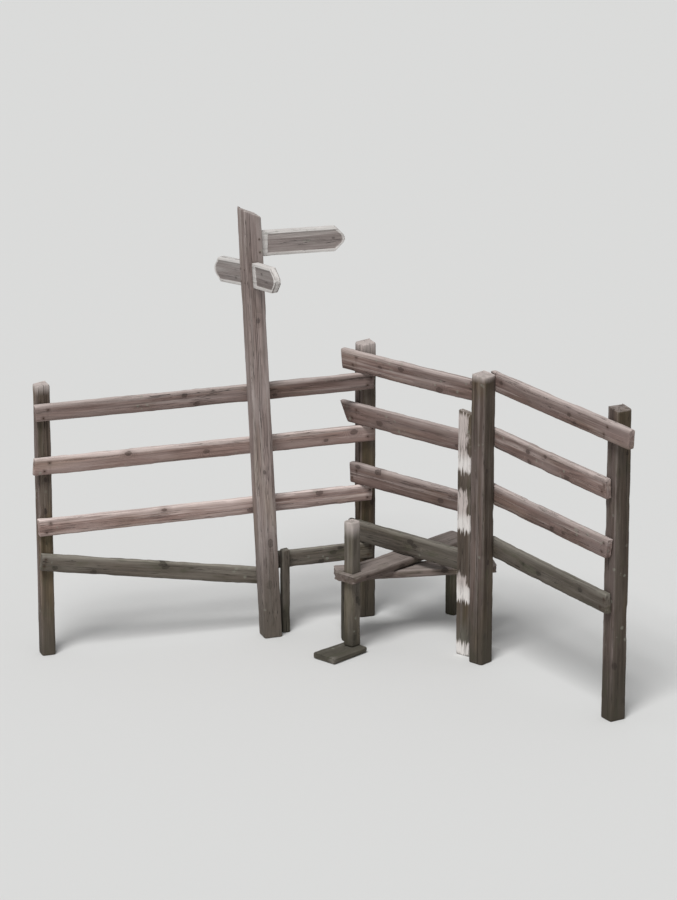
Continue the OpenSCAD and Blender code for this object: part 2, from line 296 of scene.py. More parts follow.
# How each kind of timber has worn. Lengths are in metres; splits and their size are for each face.
KINDS = table(("radius", "wear", "chips", "splits", "size", "deep", "rough", "bow"), {
    "rail": (0.0045, 0.0040, 0.007, (2, 1), 0.0030, 0.009, 0.0009, 0.0015),
    "post": (0.0070, 0.0045, 0.008, (3, 3), 0.0042, 0.014, 0.0010, 0.0),
    "step": (0.0070, 0.0050, 0.009, (1, 4), 0.0036, 0.010, 0.0010, 0.0),
    "leg": (0.0060, 0.0045, 0.008, (2, 2), 0.0036, 0.010, 0.0012, 0.0),
    "finger": (0.0028, 0.0012, 0.002, (1, 1), 0.0014, 0.004, 0.0004, 0.0),
})

# Node: kind, material, brightness gain, seed. The gain is partly the timber's own tone and partly
# painted light and shade: one wood made lighter or darker per timber as the light falls on it
TIMBERS = {
    "stile_post": ("post", "post", 0.95, 11),
    "corner_post": ("post", "post", 1.00, 12),
    "left_post": ("post", "post", 1.18, 13),
    "end_post": ("post", "post", 0.85, 14),
    "rail_cleat": ("rail", "cleat", 1.00, 21),
    "rail_stake": ("leg", "damp", 1.00, 22),
    "left_rail_lower": ("rail", "rail", 1.40, 31),
    "left_rail_middle": ("rail", "rail", 1.24, 32),
    "left_rail_top": ("rail", "rail", 0.92, 33),
    "left_rail_dropped": ("rail", "damp", 1.10, 34),
    "left_rail_short": ("rail", "damp", 1.10, 35),
    "stile_rail_low": ("rail", "damp", 0.85, 41),
    "stile_rail_lower": ("rail", "rail", 0.80, 42),
    "stile_rail_middle": ("rail", "rail", 0.86, 43),
    "stile_rail_top": ("rail", "rail", 0.90, 44),
    "right_rail_low": ("rail", "damp", 0.85, 51),
    "right_rail_lower": ("rail", "rail", 0.88, 52),
    "right_rail_middle": ("rail", "rail", 0.92, 53),
    "right_rail_top": ("rail", "rail", 0.94, 54),
    "upper_step": ("step", "step", 0.86, 61),
    "lower_step": ("step", "step", 1.00, 62),
    "upper_leg_front": ("leg", "damp", 0.92, 63),
    "upper_leg_back": ("leg", "damp", 1.00, 64),
    "lower_leg_front": ("leg", "damp", 1.00, 65),
    "lower_leg_back": ("leg", "damp", 1.00, 66),
    "step_sill": ("step", "sill", 0.88, 67),
    "fingerpost": ("post", "sign", 1.15, 71),
    "finger_long": ("finger", "finger", 1.00, 72),
    "finger_left": ("finger", "finger", 0.80, 73),
    "finger_front": ("finger", "finger", 0.80, 74),
}
# How the names start of timbers whose solids have flats, fields or mortices on their sides
FEATURED = ("corner_post", "right_rail", "finger")
# Timbers with a pale, lichened head, and how far it reaches down, in metres
HEADS = {"stile_post": 0.030, "corner_post": 0.070, "left_post": 0.040, "upper_leg_front": 0.060}

# Posts that a bay's rails are nailed to, and rails that are nailed to one post alone
BAYS = {"left": ("corner_post", "left_post"), "stile": ("corner_post", "stile_post"),
        "right": ("stile_post", "end_post")}
NAILED_ONCE = {"left_rail_dropped": ("left_post",), "left_rail_short": ("corner_post",)}
# Nails, in metres: how far each lies from its post's middle along the rail and from the rail's
# middle across it, the least distance to the rail's end, and the rust round and below its head
NAIL_ALONG = (0.008, 0.018)
NAIL_ACROSS = (0.016, 0.026)
NAIL_TO_END = 0.016
RUST_RING = 0.009
RUST_WIDE = 0.0035
RUST_RUN = 0.03


def nail_places(node, solid):
    """Where a rail's nails stand, in its own frame: along, height and side."""
    rng = np.random.default_rng(sum(map(ord, node)))
    posts = BAYS[node.split("_")[0]] if "_rail_" in node else ()
    found = []
    for post in NAILED_ONCE.get(node, posts):
        low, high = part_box(post)
        centre = solid.local((low + high) / 2)
        way = -1 if centre[1] > 0 else 1
        for k in (-1, 1):
            x = centre[0] + k * rng.uniform(*NAIL_ALONG)
            x = min(max(x, NAIL_TO_END), solid.length - NAIL_TO_END)
            found.append((x, k * rng.uniform(*NAIL_ACROSS), way))
    return found


def stain(x, y_normal, z, nails):
    """How rusty the wood is near its nails: a ring round each head and a streak below it."""
    total = np.zeros(np.shape(x))
    for nx, nz, way in nails:
        face = smooth(0.3, 0.9, y_normal * way)
        ring = np.exp(-(((x - nx) ** 2 + (z - nz) ** 2) / RUST_RING ** 2))
        below = nz - z
        streak = np.exp(-(((x - nx) / RUST_WIDE) ** 2)) * smooth(0, 0.004, below)
        streak = streak * np.exp(-np.clip(below, 0, 1) / RUST_RUN)
        total = np.maximum(total, face * np.maximum(ring, 0.8 * streak))
    return total


class Shell:
    """A timber's surface: rings of columns along it, and how far each point is worn inward."""

    def __init__(self, solid, kind, seed):
        rng = np.random.default_rng(seed)
        self.solid, self.kind, self.seed = solid, KINDS[kind], seed
        self.half = solid.half[1:]
        self.pitch, step = FINE_PITCH if kind == "finger" else PITCH
        checks = drying_splits(rng, solid, self.kind)
        rows = section(self.half, self.kind["radius"], self.pitch, checks)
        columns = (np.array([r[k] for r in rows]) for k in range(4))
        self.place, self.out, self.side, self.lateral = columns
        self.splits = [r[4:] for r in rows]
        ends = (np.array([solid.end(y, z, way) for y, z in self.place]) for way in (-1, 1))
        self.near, self.far = ends
        share = stations(solid.length, step)
        self.x = self.near + share[:, None] * (self.far - self.near)
        fields = np.zeros((6,) + self.x.shape)
        self.inward, self.edge, self.sunk, self.cut, self.opened, self.slide = fields

    def hollow(self):
        """Broad hollows and saw marks across each face."""
        across = self.lateral * np.where(self.side % 2 == 0, self.half[1], self.half[0])
        for i in range(4):
            on = self.side == i
            for step, share, wave, wide in HOLLOWS:
                marks = noise(self.seed * 7 + i + step, self.x[:, on] / wave, across[on] / wide)
                self.inward[:, on] += self.kind["rough"] * share * (marks + 1)

    def wear(self):
        """Worn arrises, with chips: each corner has its own wear along the timber."""
        worn = self.kind["wear"]
        for corner in range(4):
            nd, dd = (np.array(v, float) for v in SIDES[corner])
            tip = nd * abs(nd @ self.half) + dd * abs(dd @ self.half)
            gap = np.linalg.norm(self.place - tip, axis=1)
            weight = np.clip(1 - gap / ARRIS_REACH, 0, 1) ** 2
            wear = worn * (0.55 + 0.45 * noise(self.seed * 13 + corner, self.x / WEAR_WAVE))
            nicks = noise(self.seed * 13 + corner + 9, self.x / NICK_WAVE) + 1
            wear = wear + worn * NICK_SHARE * nicks
            chip = smooth(*CHIP_RISE, noise(self.seed * 17 + corner, self.x / CHIP_WAVE))
            self.inward += weight * (wear + chip * self.kind["chips"])
            self.edge = np.maximum(self.edge, weight * (0.6 + chip))

    def sink(self):
        """Flats, fields and mortices that the solid has on its sides, a little softened."""
        turns = np.linspace(0, 2 * pi, 7)[:-1]
        ring = [(0, 0)] + [(cos(a) * FEATURE_SOFT, sin(a) * FEATURE_SOFT) for a in turns]
        last = self.solid.length - END_MARGIN
        for j, ((y, z), (ny, nz)) in enumerate(zip(self.place, self.out)):
            for i, x in enumerate(self.x[:, j]):
                depths = [self.solid.depth(min(max(x + dx, END_MARGIN), last),
                                           y - nz * dt, z + ny * dt, ny, nz) for dx, dt in ring]
                self.sunk[i, j] = np.mean(depths)
        self.inward += self.sunk

    def round_ends(self):
        """Rounds the sides over towards both ends."""
        from_end = np.minimum(self.x - self.near, self.far - self.x)
        self.inward += END_ROUND * np.clip(1 - from_end / END_REACH, 0, 1) ** 2

    def open_splits(self):
        """Sinks each split's middle column, draws the two beside it apart, and marks how much
        painted shade each takes.
        """
        for j, (check, role) in enumerate(self.splits):
            if check is None:
                continue
            o = check.opening(self.x[:, j])
            if role == 0:
                self.inward[:, j] += o * check.deep
                self.cut[:, j] = self.opened[:, j] = o
            else:
                self.slide[:, j] = role * (o * check.half - check.half + CHECK_HALF * (1 - o))
                self.cut[:, j] = 0.25 * o

    def points(self, kind):
        """Each ring's points: y and z, with wandering columns, a worn tread and a rail's sag."""
        wander = WANDER * noise(self.seed * 23, self.x / WANDER_WAVE, self.side * 3.7)
        shift = self.slide + wander * np.clip(1 - self.lateral ** 2, 0, 1)
        y = self.place[:, 0] - self.out[:, 0] * self.inward - self.out[:, 1] * shift
        z = self.place[:, 1] - self.out[:, 1] * self.inward + self.out[:, 0] * shift
        share = self.x / self.solid.length
        if kind == "step":
            tread = smooth(0.5, 0.95, self.out[:, 1]) * (1 - 0.6 * self.lateral ** 2)
            z = z - tread * TREAD_HOLLOW * np.exp(-((share - 0.5) / TREAD_SPREAD) ** 2)
        return y, z - self.kind["bow"] * np.sin(pi * np.clip(share, 0, 1))

    def walls(self):
        """The quads between the rings."""
        m, n = self.x.shape
        ring = np.arange(m - 1)[:, None] * n
        a = (ring + np.arange(n)).ravel()
        b = (ring + (np.arange(n) + 1) % n).ravel()
        return np.stack([a, b, b + n, a + n], 1)

    def end_points(self, way, yz, share, split):
        """Points of one ring of end grain, with pores, a rounded rim and the splits' ends."""
        base = np.array([self.solid.end(y, z, way) for y, z in yz])
        pit = 0.0
        for factor, deep, size in PORES:
            pit += deep * (noise(self.seed * factor + way, yz[:, 0] / size, yz[:, 1] / size) + 1)
        x = base - way * (pit + END_EASE * smooth(0.75, 1.0, share) + split)
        return np.stack([x, yz[:, 0], yz[:, 1]], 1)

    def caps(self, y, z):
        """End grain: rings of the section drawn in towards its middle."""
        m, n = self.x.shape
        points, split_shade_ends, edges, quads, triangles = [], [], [], [], []
        rings = max(5, round(min(self.half) / self.pitch))
        count = m * n
        for way, row in ((-1, 0), (1, m - 1)):
            centre = np.array([y[row].mean(), z[row].mean()])
            reach = np.stack([y[row], z[row]], 1) - centre
            previous = np.arange(n) + row * n
            for q in range(1, rings + 1):
                share = 1 - q / rings
                tip = q == rings
                yz = centre[None, :] if tip else centre + reach * share
                split = self.opened[row] * smooth(*SPLIT_RISE, share) * SPLIT_DEEP
                split = np.zeros(1) if tip else split
                points.append(self.end_points(way, yz, share, split))
                split_shade_ends.append(np.clip(split / SPLIT_DEEP, 0, 1))
                edges.append(np.full(len(yz), 0.35 * share))
                now = count + np.arange(len(yz))
                following = np.roll(previous, -1)
                corners = [previous, following, np.roll(now, -1), now]
                face = [previous, following, np.full(n, count)] if tip else corners
                face = np.stack(face, 1)
                (triangles if tip else quads).append(face if way > 0 else face[:, ::-1])
                previous = now
                count += len(yz)
        return points, split_shade_ends, edges, quads, triangles


def weathered_mesh(node, kind, seed):
    """The node's timber as a ring-and-column mesh, worn, split and rounded inside its solid."""
    solid = Solid(node)
    shell = Shell(solid, kind, seed)
    shell.hollow()
    shell.wear()
    if node.startswith(FEATURED):
        shell.sink()
    shell.round_ends()
    shell.open_splits()
    y, z = shell.points(kind)
    points, split_shade_ends, edges, quads, triangles = shell.caps(y, z)
    verts = np.concatenate([np.stack([shell.x, y, z], 2).reshape(-1, 3)] + points)
    ends = len(verts) - shell.x.size
    rim = 1 - smooth(*RIM_FADE, shell.sunk)
    facing = np.concatenate([np.tile(shell.out[:, 0], len(shell.x)), np.zeros(ends)])
    nails = nail_places(node, solid)
    attributes = {
        "cut": np.concatenate([shell.cut.ravel()] + split_shade_ends),
        "edge": np.concatenate([shell.edge.ravel()] + edges),
        "rim": np.concatenate([rim.ravel(), np.ones(ends)]),
        "stain": stain(verts[:, 0], facing, verts[:, 2], nails),
    }
    verts = solid.placed(verts)
    if abs(solid.turn[2, 0]) > UPRIGHT:
        low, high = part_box(node)
        verts[:, 2] = np.clip(verts[:, 2], low.z + LEVEL_MARGIN, high.z - LEVEL_MARGIN)
    faces = [shell.walls()] + quads + triangles
    return solid, mesh_object(node + "_timber", verts, faces, attributes), nails


def linked(name, data):
    """A new object of the scene."""
    ob = bpy.data.objects.new(name, data)
    bpy.context.scene.collection.objects.link(ob)
    return ob


def mesh_object(name, verts, groups, attributes):
    """A smooth-shaded mesh object with sharp edges kept, from arrays."""
    me = bpy.data.meshes.new(name)
    me.from_pydata(verts.tolist(), [], [f for group in groups for f in group.tolist()])
    for key, values in attributes.items():
        layer = me.attributes.new(key, "FLOAT", "POINT")
        layer.data.foreach_set("value", np.asarray(values, np.float32))
    me.validate()
    me.shade_smooth()
    me.set_sharp_from_angle(angle=radians(SHARP_ANGLE))
    return linked(name, me)


def grain_frame(ob, solid):
    """Stores where each vertex lies in its timber's own frame, for the wood."""
    places = np.empty(len(ob.data.vertices) * 3, np.float32)
    ob.data.vertices.foreach_get("co", places)
    layer = ob.data.attributes.new("grain", "FLOAT_VECTOR", "POINT")
    layer.data.foreach_set("vector", solid.local(places.reshape(-1, 3)).astype(np.float32).ravel())


def hole_outline(solid):
    """The square hole's outline in the board's frame, a little worn at its corners."""
    low, high = map(np.array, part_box("upper_leg_front"))
    centre = solid.local((low + high) / 2)
    reach = (high - low)[:2].max() / 2 + HOLE_GAP - HOLE_ROUND
    corners = []
    for k in range(4):
        a = radians(45 + 90 * k)
        for turn in HOLE_TURNS:
            b = radians(45 + 90 * k + turn)
            x = centre[0] + copysign(reach, cos(a)) + HOLE_ROUND * cos(b)
            y = centre[1] + copysign(reach, sin(a)) + HOLE_ROUND * sin(b)
            corners.append((x, y))
    return corners


def leg_hole(board, solid):
    """Cuts the square hole for the tall leg through the board."""
    corners = hole_outline(solid)
    count, top = len(corners), solid.half[2] * 2
    verts = [(x, y, z) for z in (-top, top) for x, y in corners]
    walls = [(i, (i + 1) % count, (i + 1) % count + count, i + count) for i in range(count)]
    ends = [tuple(range(count))[::-1], tuple(range(count, 2 * count))]
    me = bpy.data.meshes.new("hole_cutter")
    me.from_pydata(solid.placed(verts).tolist(), [], walls + ends)
    cutter = linked("hole_cutter", me)
    cutting = board.modifiers.new("hole", "BOOLEAN")
    cutting.object = cutter
    cutting.solver = "EXACT"
    bpy.context.view_layer.update()
    evaluated = board.evaluated_get(bpy.context.evaluated_depsgraph_get())
    done = bpy.data.meshes.new_from_object(evaluated)
    board.modifiers.clear()
    board.data = done
    bpy.data.objects.remove(cutter)


class Graph:
    """Short calls for building one material's nodes."""

    def __init__(self, name):
        self.material = bpy.data.materials.new(name)
        self.material.use_nodes = True
        self.tree = self.material.node_tree
        self.shader = self.tree.nodes["Principled BSDF"]

    def add(self, kind, **settings):
        node = self.tree.nodes.new(kind)
        for key, value in settings.items():
            setattr(node, key, value)
        return node

    def put(self, socket, value):
        if isinstance(value, bpy.types.NodeSocket):
            self.tree.links.new(value, socket)
        else:
            socket.default_value = value

    def math(self, operation, a, b=0.0, clamp=False):
        node = self.add("ShaderNodeMath", operation=operation, use_clamp=clamp)
        for socket, value in zip(node.inputs, (a, b)):
            self.put(socket, value)
        return node.outputs[0]

    def times(self, a, b):
        return self.math("MULTIPLY", a, b)

    def plus(self, a, b):
        return self.math("ADD", a, b)

    def minus(self, a, b):
        return self.math("SUBTRACT", a, b)

    def most(self, a, b):
        return self.math("MAXIMUM", a, b)

    def swing(self, noise_value, reach):
        """How far a noise from 0 to 1 swings either side of its middle, times the reach."""
        return self.times(self.minus(noise_value, 0.5), reach)

    def vector(self, operation, a, b=(0, 0, 0)):
        node = self.add("ShaderNodeVectorMath", operation=operation)
        self.put(node.inputs[0], a)
        self.put(node.inputs[1], b)
        return node.outputs["Value"] if operation == "LENGTH" else node.outputs[0]

    def mix(self, share, a, b, blend="MIX"):
        """Colour a with its share of colour b. A colour is three numbers or a socket."""
        node = self.add("ShaderNodeMix", data_type="RGBA", blend_type=blend)
        sockets = [s for s in node.inputs if s.enabled]
        self.put(sockets[0], share)
        for socket, value in zip(sockets[1:], (a, b)):
            self.put(socket, value + (1,) if isinstance(value, tuple) else value)
        return next(s for s in node.outputs if s.enabled)

    def range(self, value, low, high, to_low=0.0, to_high=1.0):
        """The value carried smoothly from low..high to to_low..to_high, and held beyond them."""
        node = self.add("ShaderNodeMapRange", interpolation_type="SMOOTHSTEP")
        for socket, v in zip(node.inputs[:5], (value, low, high, to_low, to_high)):
            self.put(socket, v)
        return node.outputs[0]

    def noise(self, where, scale, detail=2.0, rough=0.5):
        node = self.add("ShaderNodeTexNoise")
        self.put(node.inputs["Vector"], where)
        self.put(node.inputs["Scale"], scale)
        self.put(node.inputs["Detail"], detail)
        self.put(node.inputs["Roughness"], rough)
        return node.outputs[0]

    def pattern(self, where, name):
        """One of the named patterns of the wood."""
        stretch, detail, rough = PATTERNS[name]
        return self.noise(self.vector("MULTIPLY", where, stretch), 1.0, detail, rough)

    def attribute(self, name, output="Fac"):
        return self.add("ShaderNodeAttribute", attribute_name=name).outputs[output]

    def split(self, where):
        node = self.add("ShaderNodeSeparateXYZ")
        self.put(node.inputs[0], where)
        return node.outputs

    def join(self, x, y, z):
        node = self.add("ShaderNodeCombineXYZ")
        for socket, value in zip(node.inputs, (x, y, z)):
            self.put(socket, value)
        return node.outputs[0]


# Colours of the weathered timber, linear: early and late wood, sun-bleached, what faces the sky
# (partly bleached, partly a painted highlight), and damp wood, which reaches up to the rise, in
# metres. Olive, green and bleach are the most that yellowed, mossy and bleached patches take
TONES = table(("early", "late", "grey", "top", "damp", "olive", "rise", "green", "bleach"), {
    "rail": ((0.275, 0.190, 0.166), (0.130, 0.086, 0.074), (0.320, 0.252, 0.234),
             (0.610, 0.520, 0.488), (0.090, 0.070, 0.052), 0.25, 0.30, 0.10, 0.55),
    "post": ((0.150, 0.110, 0.094), (0.076, 0.055, 0.046), (0.205, 0.166, 0.152),
             (0.340, 0.290, 0.268), (0.062, 0.053, 0.040), 0.85, 0.42, 0.22, 0.45),
    "damp": ((0.150, 0.125, 0.102), (0.074, 0.062, 0.050), (0.210, 0.188, 0.160),
             (0.270, 0.248, 0.212), (0.060, 0.054, 0.040), 0.50, 0.30, 0.34, 0.42),
    "step": ((0.200, 0.150, 0.128), (0.100, 0.074, 0.062), (0.250, 0.208, 0.188),
             (0.320, 0.272, 0.248), (0.070, 0.060, 0.044), 0.45, 0.30, 0.25, 0.50),
    "sill": ((0.190, 0.165, 0.142), (0.110, 0.093, 0.079), (0.240, 0.218, 0.195),
             (0.270, 0.250, 0.222), (0.085, 0.077, 0.058), 0.40, 0.10, 0.25, 0.55),
    "cleat": ((0.128, 0.098, 0.078), (0.066, 0.050, 0.039), (0.160, 0.132, 0.108),
              (0.300, 0.262, 0.235), (0.135, 0.128, 0.104), 0.80, 0.25, 0.25, 0.35),
    "sign": ((0.300, 0.236, 0.216), (0.158, 0.122, 0.111), (0.340, 0.294, 0.280),
             (0.480, 0.430, 0.405), (0.096, 0.082, 0.066), 0.25, 0.80, 0.12, 0.55),
    "finger": ((0.370, 0.315, 0.298), (0.225, 0.190, 0.178), (0.430, 0.392, 0.376),
               (0.560, 0.525, 0.500), (0.090, 0.080, 0.066), 0.10, 0.30, 0.06, 0.45),
})
MOSS = (0.048, 0.058, 0.024)
LICHEN = (0.300, 0.310, 0.255)
RUST = (0.040, 0.020, 0.012)
# Near black for knots' bark and fine cracks, and for the painted shade in the splits
DARK_BARK_CRACK_AND_SHADE = (0.014, 0.011, 0.009)
CHALK = (0.640, 0.565, 0.535)
WHITE = (0.860, 0.830, 0.800)
OLIVE = (0.96, 0.90, 0.66)
# Painted shade: what a post's side that faces +X keeps of its colour, with a greenish cast
PAINTED_SIDE_SHADE = (0.62, 0.64, 0.56)
# The pale frame round a finger's field
RIM = (0.720, 0.690, 0.665)
# Heights of the cleat's chalky patches, low and high, in metres
PATCHES = ((0.0, 0.070), (0.29, 0.42), (0.66, 0.87), (0.97, 1.262))

# Patterns in the wood: waves per metre along it, across its side and up it, detail and roughness
PATTERNS = {
    "warp": ((1.6, 9, 9), 2.0, 0.5),
    "drift": ((1.1, 5, 5), 1.0, 0.5),
    "wobble": ((3, 40, 40), 2.0, 0.5),
    "fibre": ((9, 420, 420), 3.0, 0.6),
    "streak": ((1.6, 55, 55), 4.0, 0.6),
    "blotch": ((2.6, 11, 11), 4.0, 0.55),
    "broad": ((0.9, 3, 3), 2.0, 0.5),
    "pale": ((1.1, 38, 38), 3.0, 0.55),
    "olive": ((1.7, 7, 7), 3.0, 0.5),
    "algae": ((7, 22, 22), 5.0, 0.62),
    "hairline": ((3.2, 120, 120), 2.0, 0.5),
    "dry": ((1.4, 26, 26), 2.0, 0.5),
    "face": ((3, 30, 30), 3.0, 0.5),
    "chalk_streak": ((7, 110, 110), 5.0, 0.65),
    "chalk_fray": ((12, 60, 60), 5.0, 0.65),
    "chalk_worn": ((9, 60, 60), 4.0, 0.6),
}

# The pith lies inside a thick post and outside a sawn rail: its distance, in steps of PITH_STEP
BOXED = ("post", "sign", "damp")
BOXED_HALF = 0.025
PITH_INSIDE = (0.1, 0.5)
PITH_OUTSIDE = (1.2, 2.4)
PITH_STEP = 0.05
RING_BEND = 0.035
RING_SPACING = (0.0036, 0.0052)
RING_WOBBLE = 0.9
KNOT_PUSH = 0.016
KNOT_SIZE = (0.007, 0.014)
FINGER_KNOT = 0.005
KNOT_SQUASH = 0.62
LICHEN_SCALE = 24.0
# How far fibres, rings, streaks, knots' hearts and their bark stand out, beside a crack's depth
RELIEF = (0.5, 0.35, 0.5, 0.4, -0.8)
BUMP_STRENGTH = 0.65
BUMP_DISTANCE = 0.0016


def weathered_wood(node, tone_name, tone_and_light_gain, seed, solid):
    """Solid-grain wood of one timber: rings, fibres and knots, then sun, damp, cracks, rust and
    painted light and shade.
    """
    g = Graph(node + "_wood")
    # Painted light and shade: the tone's colours scaled by this timber's gain
    tone = {k: tuple(c * tone_and_light_gain for c in v) if isinstance(v, tuple) else v
            for k, v in TONES[tone_name].items()}
    w = wood_patterns(g, tone_name, np.random.default_rng(seed + 900), solid)
    colour = sawn_colour(g, w, tone)
    colour = bleached_and_painted_light(g, w, tone, tone_name, colour)
    if abs(solid.turn[2, 2]) > UPRIGHT:
        colour = face_gradient(g, w, tone, colour, g.math("DIVIDE", w.z, solid.half[2]))
    colour = marked(g, w, tone, tone_name, node, colour, solid)
    colour = damp_and_green(g, w, tone, colour)
    if tone_name == "cleat":
        colour = chalky(g, w, colour, g.math("DIVIDE", w.y, solid.half[1]))
    colour = g.mix(g.times(lichen(g, w.moved), 0.42), colour, LICHEN)
    hair = hairlines(g, w.moved)
    colour = g.mix(g.times(hair, 0.75), colour, DARK_BARK_CRACK_AND_SHADE)
    colour = g.mix(g.times(g.attribute("stain"), 0.85), colour, RUST)
    # Painted shade: the bottom of each split darkened to near black
    colour = g.mix(g.range(g.attribute("cut"), 0.12, 0.8, 0.0, 0.95), colour, DARK_BARK_CRACK_AND_SHADE)
    g.put(g.shader.inputs["Base Color"], colour)
    dry_surface(g, w, hair)
    return g.material


def wood_patterns(g, tone_name, rng, solid):
    """A timber's own patterns, and where its surface lies and faces."""
    place = g.attribute("grain", "Vector")
    w = SimpleNamespace(moved=g.vector("ADD", place, tuple(rng.uniform(-50, 50, 3))))
    w.x, w.y, w.z = g.split(place)
    for name in ("fibre", "streak", "blotch", "broad", "pale"):
        setattr(w, name, g.pattern(w.moved, name))
    geometry = g.add("ShaderNodeNewGeometry")
    w.facing = g.split(geometry.outputs["Normal"])
    w.height = g.split(geometry.outputs["Position"])[2]
    w.edge = g.attribute("edge")
    w.worn = g.range(w.streak, 0.66, 0.46, 0.35, 1.0)
    radius = ring_radius(g, w, tone_name, rng, solid)
    knots(g, w, tone_name, rng, solid)
    pushed = g.plus(radius, g.times(w.push, KNOT_PUSH))
    turns = g.math("DIVIDE", pushed, rng.uniform(*RING_SPACING))
    saw = g.math("FRACT", g.plus(turns, g.times(g.pattern(w.moved, "wobble"), RING_WOBBLE)))
    w.late = g.times(g.range(saw, 0.25, 0.92), g.range(saw, 1.0, 0.93))
    return w


def ring_radius(g, w, tone_name, rng, solid):
    """How far each point lies from the pith, which bends a little along the timber."""
    boxed = tone_name in BOXED and solid.half[1] > BOXED_HALF
    away = rng.uniform(*(PITH_INSIDE if boxed else PITH_OUTSIDE))
    angle = rng.uniform(0, 2 * pi)
    pith = (cos(angle) * away * PITH_STEP, sin(angle) * away * PITH_STEP)
    bend_y = g.swing(g.pattern(w.moved, "warp"), RING_BEND)
    bend_z = g.swing(g.pattern(w.moved, "drift"), RING_BEND)
    across_y = g.plus(g.minus(w.y, pith[0]), bend_y)
    across_z = g.plus(g.minus(w.z, pith[1]), bend_z)
    return g.vector("LENGTH", g.join(0.0, across_y, across_z))


def knots(g, w, tone_name, rng, solid):
    """A timber's knots: how far each pushes the rings aside, its heart, and its bark and cracks."""
    w.push, w.heart, w.bark = 0.0, 0.0, 0.0
    rough = g.swing(g.noise(w.moved, 110.0, 3.0), 0.0060)
    broken = g.range(g.noise(w.moved, 70.0, 2.0), 0.42, 0.60)
    for _ in range(int(rng.integers(2, 5)) if tone_name != "finger" else 1):
        kx = rng.uniform(0.05, 0.95) * solid.length
        kz = rng.uniform(-0.7, 0.7) * solid.half[2]
        size = rng.uniform(*KNOT_SIZE) if tone_name != "finger" else FINGER_KNOT
        across = g.minus(w.z, kz)
        gap = g.vector("LENGTH", g.join(g.times(g.minus(w.x, kx), KNOT_SQUASH), 0.0, across))
        w.push = g.most(w.push, g.range(gap, size * 3.2, size * 0.7))
        gap = g.plus(gap, rough)
        core = g.range(gap, size * 1.02, size * 0.88)
        rings = g.range(g.math("FRACT", g.math("DIVIDE", gap, size * 0.21)), 0.25, 0.90, 0.75, 1.0)
        w.heart = g.most(w.heart, g.times(core, rings))
        edge = g.range(gap, size * 1.16, size * 1.02)
        edge = g.times(edge, g.range(gap, size * 0.84, size * 0.96))
        crack = g.range(g.math("ABSOLUTE", g.plus(across, g.times(rough, 1.6))), 0.0008, 0.0002)
        crack = g.times(crack, g.range(gap, size * 0.62, size * 0.25))
        w.bark = g.most(w.bark, g.most(g.times(edge, broken), crack))


def sawn_colour(g, w, tone):
    """The wood under its weathering: late wood in the rings, in dark streaks and in the fibres."""
    colour = g.mix(g.times(w.late, 0.62), tone["early"], tone["late"])
    colour = g.mix(g.range(w.streak, 0.44, 0.64, 0.0, 0.85), colour, tone["late"])
    colour = g.mix(g.range(w.pale, 0.52, 0.68, 0.0, 0.50), colour, tone["top"])
    return g.mix(g.range(w.fibre, 0.46, 0.68, 0.0, 0.55), colour, tone["late"])


def bleached_and_painted_light(g, w, tone, tone_name, colour):
    """Sun-bleached patches, painted shade on a post's +X side, and a pale colour on what faces the
    sky and on worn upper edges, partly bleaching and partly a painted highlight.
    """
    bleach = g.times(g.range(w.blotch, 0.40, 0.66), tone["bleach"])
    bleach = g.math("ADD", bleach, g.times(w.edge, 0.25), clamp=True)
    colour = g.mix(bleach, colour, tone["grey"])
    colour = g.mix(g.range(w.broad, 0.50, 0.72, 0.0, 0.42), colour, tone["late"])
    olive = g.range(g.pattern(w.moved, "olive"), 0.50, 0.66, 0.0, tone["olive"])
    colour = g.mix(olive, colour, OLIVE, "MULTIPLY")
    # Painted shade on a post's sides that face +X
    if tone_name == "post":
        side_shade = g.range(w.facing[0], 0.35, 0.85, 0.0, 0.80)
        colour = g.mix(side_shade, colour, PAINTED_SIDE_SHADE, "MULTIPLY")
    # Pale colour on what faces the sky and on worn upper edges: partly bleaching, partly a painted
    # highlight
    sky = g.range(w.facing[2], 0.2, 0.85)
    upper = g.times(w.edge, g.range(w.facing[2], -0.35, 0.45))
    bleach_and_highlight = g.times(g.most(sky, upper), g.times(w.worn, 0.85))
    return g.mix(bleach_and_highlight, colour, tone["top"])


def face_gradient(g, w, tone, colour, level):
    """A lying timber's face: lighter towards its upper edge and darker towards its lower edge."""
    ragged = g.plus(level, g.swing(g.pattern(w.moved, "face"), 0.7))
    upper = g.times(g.range(ragged, 0.30, 1.0, 0.0, 0.70), w.worn)
    colour = g.mix(upper, colour, tone["top"])
    return g.mix(g.range(ragged, -0.35, -1.05, 0.0, 0.55), colour, tone["late"])


def marked(g, w, tone, tone_name, node, colour, solid):
    """Knots, a finger's pale frame, and the pale head of a post or leg."""
    colour = g.mix(g.times(w.push, 0.35), colour, tone["late"])
    colour = g.mix(g.times(w.heart, 0.72), colour, tuple(c * 0.55 for c in tone["late"]))
    colour = g.mix(g.times(w.bark, 0.60), colour, DARK_BARK_CRACK_AND_SHADE)
    if tone_name == "finger":
        rim = g.times(g.attribute("rim"), g.range(w.streak, 0.70, 0.42, 0.55, 0.95))
        colour = g.mix(rim, colour, RIM)
    if node in HEADS:
        ragged = g.plus(w.x, g.swing(w.streak, 0.8 * HEADS[node]))
        head = g.range(ragged, solid.length - 1.5 * HEADS[node], solid.length, 0.0, 0.72)
        colour = g.mix(head, colour, CHALK)
    return colour


def damp_and_green(g, w, tone, colour):
    """Damp wood near the ground, and algae in blotches."""
    reach = g.plus(w.height, g.swing(w.blotch, 0.45))
    colour = g.mix(g.range(reach, tone["rise"], 0.02, 0.0, 0.85), colour, tone["damp"])
    algae = g.times(g.range(g.pattern(w.moved, "algae"), 0.50, 0.68), tone["green"])
    return g.mix(algae, colour, MOSS)


